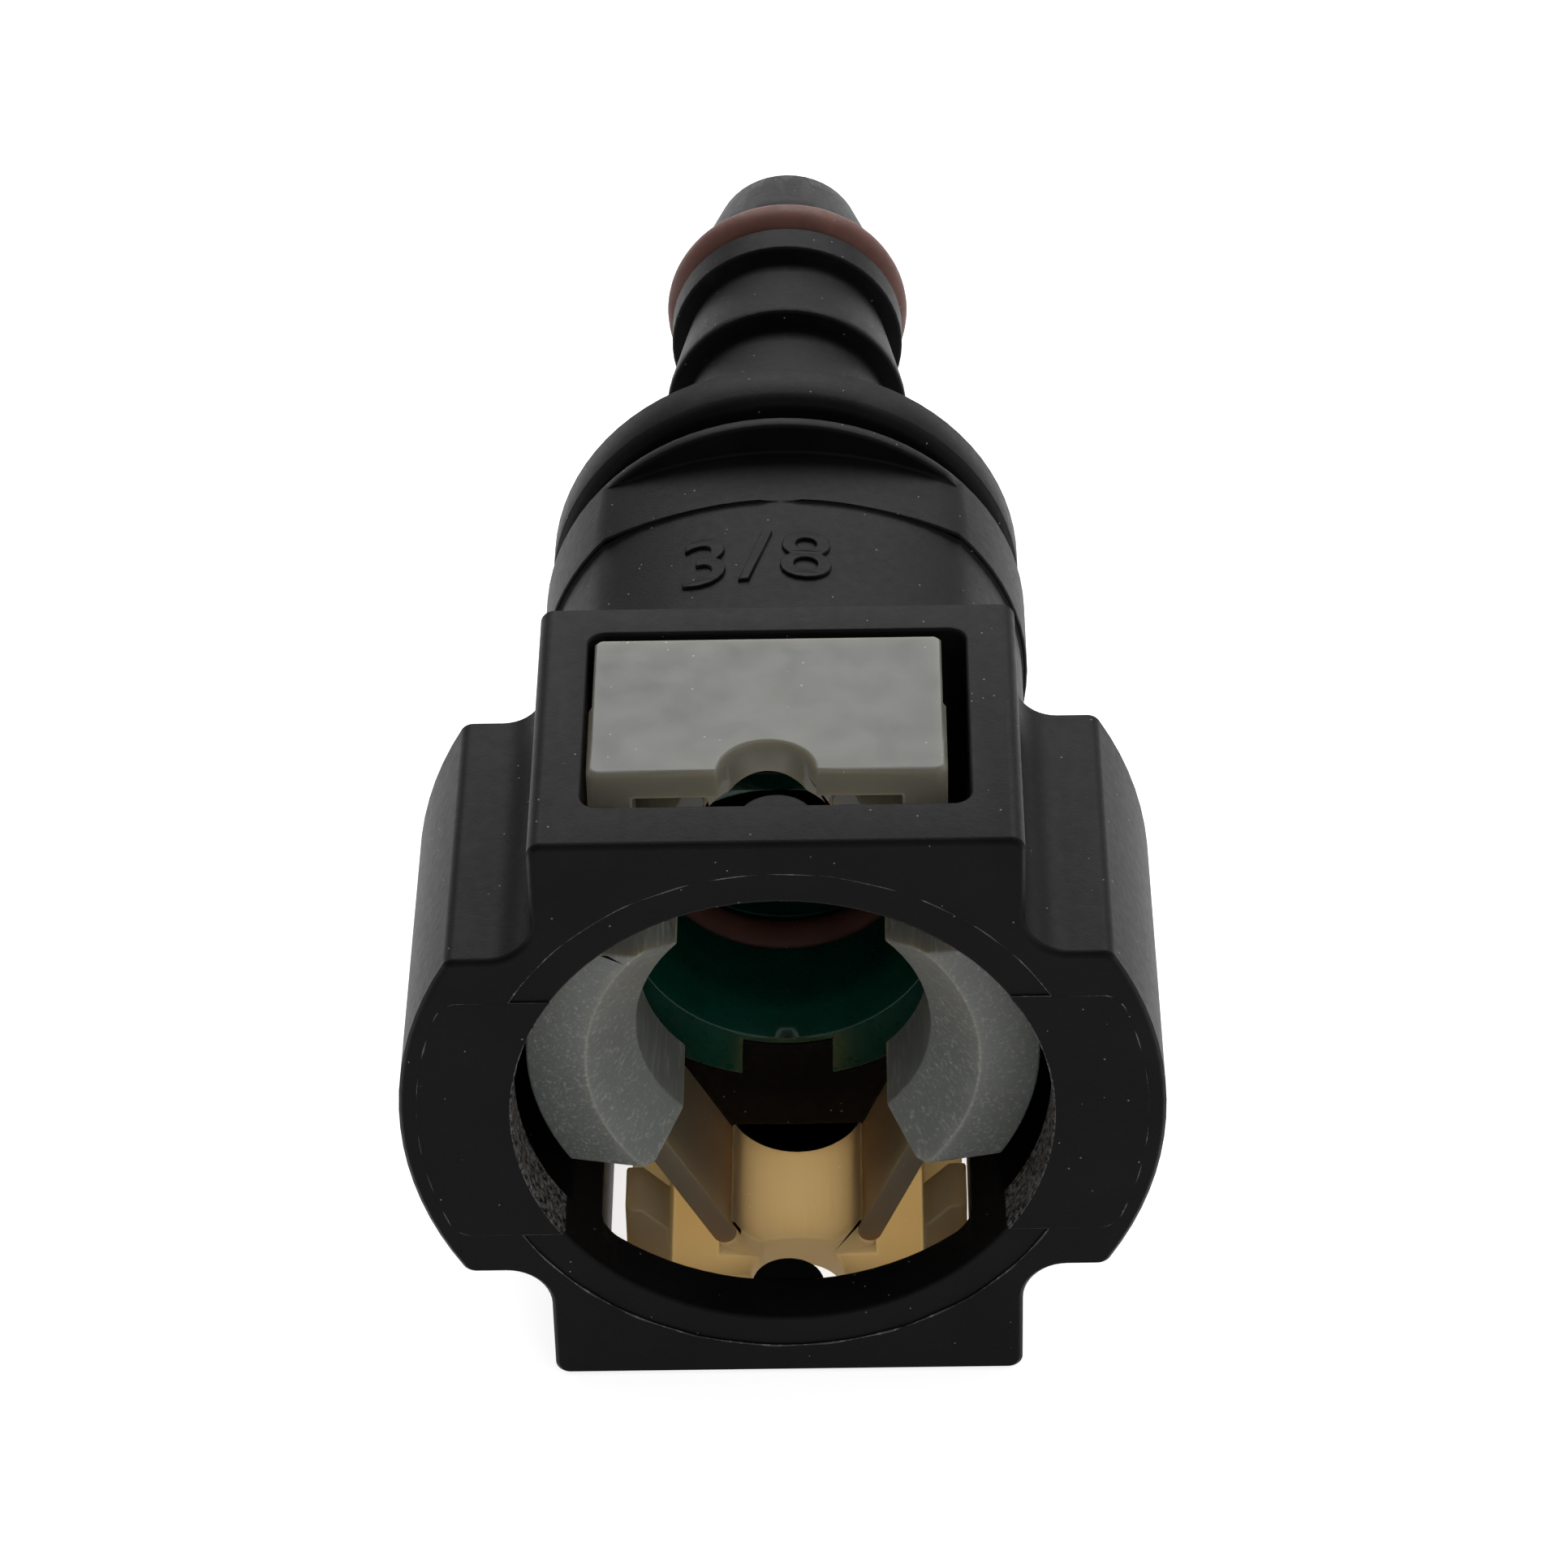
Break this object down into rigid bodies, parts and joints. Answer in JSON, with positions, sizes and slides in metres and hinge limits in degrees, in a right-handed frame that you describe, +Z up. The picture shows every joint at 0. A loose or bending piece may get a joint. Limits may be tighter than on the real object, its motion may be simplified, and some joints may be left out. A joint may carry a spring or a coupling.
{
  "type": "fuel line quick connector",
  "caption": "Push-on quick connector for a fuel line: square head with squeeze-release retainer, straight barbed hose stem.",
  "frame": {"origin": "on the flow axis where the guide bushing's bore begins, 12.4 mm inside the mouth face", "axes": "+Y along the flow axis from the mouth to the hose tip, +Z up through the top press pad, +X to the right seen from the mouth"},
  "size_m": [0.0256, 0.0567, 0.023],
  "materials": {
    "glass_filled_nylon": "moulded black nylon, glass filled, fine matt texture",
    "natural_nylon": "moulded natural nylon, translucent grey",
    "green_nylon": "moulded dark green nylon",
    "fluoro_rubber": "brown-red seal rubber, smooth"
  },
  "bodies": {
    "housing": {"housing": "glass_filled_nylon", "guide_bushing": "green_nylon", "seal_ring_front": "fluoro_rubber", "seal_spacer": "green_nylon", "seal_ring_rear": "fluoro_rubber", "stem_seal_ring": "fluoro_rubber"},
    "retainer_pad_top": {"retainer_pad_top": "natural_nylon"},
    "retainer_pad_bottom": {"retainer_pad_bottom": "natural_nylon"},
    "retainer_claw_right": {"retainer_claw_right": "natural_nylon"},
    "retainer_claw_left": {"retainer_claw_left": "natural_nylon"},
    "retainer_web_top_right": {"retainer_web_top_right": "natural_nylon"},
    "retainer_web_top_left": {"retainer_web_top_left": "natural_nylon"},
    "retainer_web_bottom_right": {"retainer_web_bottom_right": "natural_nylon"},
    "retainer_web_bottom_left": {"retainer_web_bottom_left": "natural_nylon"}
  },
  "joints": [
    {"name": "pad_top_press", "type": "slide", "parent": "housing", "child": "retainer_pad_top", "axis": [0, 0, -1], "range_m": [0, 0.0011], "stiffness_N_per_m": 6000},
    {"name": "pad_bottom_press", "type": "slide", "parent": "housing", "child": "retainer_pad_bottom", "axis": [0, 0, 1], "range_m": [0, 0.0011]},
    {"name": "claw_right_spread", "type": "slide", "parent": "housing", "child": "retainer_claw_right", "axis": [1, 0, 0], "range_m": [0, 0.00157]},
    {"name": "claw_left_spread", "type": "slide", "parent": "housing", "child": "retainer_claw_left", "axis": [-1, 0, 0], "range_m": [0, 0.00157]},
    {"name": "web_top_right_bend", "type": "hinge", "parent": "retainer_pad_top", "child": "retainer_web_top_right", "pos_m": [0.00225, -0.006, 0.00945], "axis": [0, -1, 0], "range_deg": [0, 16.5]},
    {"name": "web_top_left_bend", "type": "hinge", "parent": "retainer_pad_top", "child": "retainer_web_top_left", "pos_m": [-0.00285, -0.006, 0.00945], "axis": [0, 1, 0], "range_deg": [0, 17.3]},
    {"name": "web_bottom_left_bend", "type": "hinge", "parent": "retainer_pad_bottom", "child": "retainer_web_bottom_left", "pos_m": [-0.00225, -0.006, -0.00945], "axis": [0, -1, 0], "range_deg": [0, 16.5]},
    {"name": "web_bottom_right_bend", "type": "hinge", "parent": "retainer_pad_bottom", "child": "retainer_web_bottom_right", "pos_m": [0.00285, -0.006, -0.00945], "axis": [0, 1, 0], "range_deg": [0, 17.3]}
  ],
  "couplings": [
    {"joint": "pad_bottom_press", "follows": "pad_top_press", "ratio": 1},
    {"joint": "claw_right_spread", "follows": "pad_top_press", "ratio": 1.4256},
    {"joint": "claw_left_spread", "follows": "pad_top_press", "ratio": 1.4256},
    {"joint": "web_top_right_bend", "follows": "pad_top_press", "rad_per_m": 259.48},
    {"joint": "web_top_left_bend", "follows": "pad_top_press", "rad_per_m": 273.48},
    {"joint": "web_bottom_left_bend", "follows": "pad_top_press", "rad_per_m": 259.48},
    {"joint": "web_bottom_right_bend", "follows": "pad_top_press", "rad_per_m": 273.48}
  ]
}
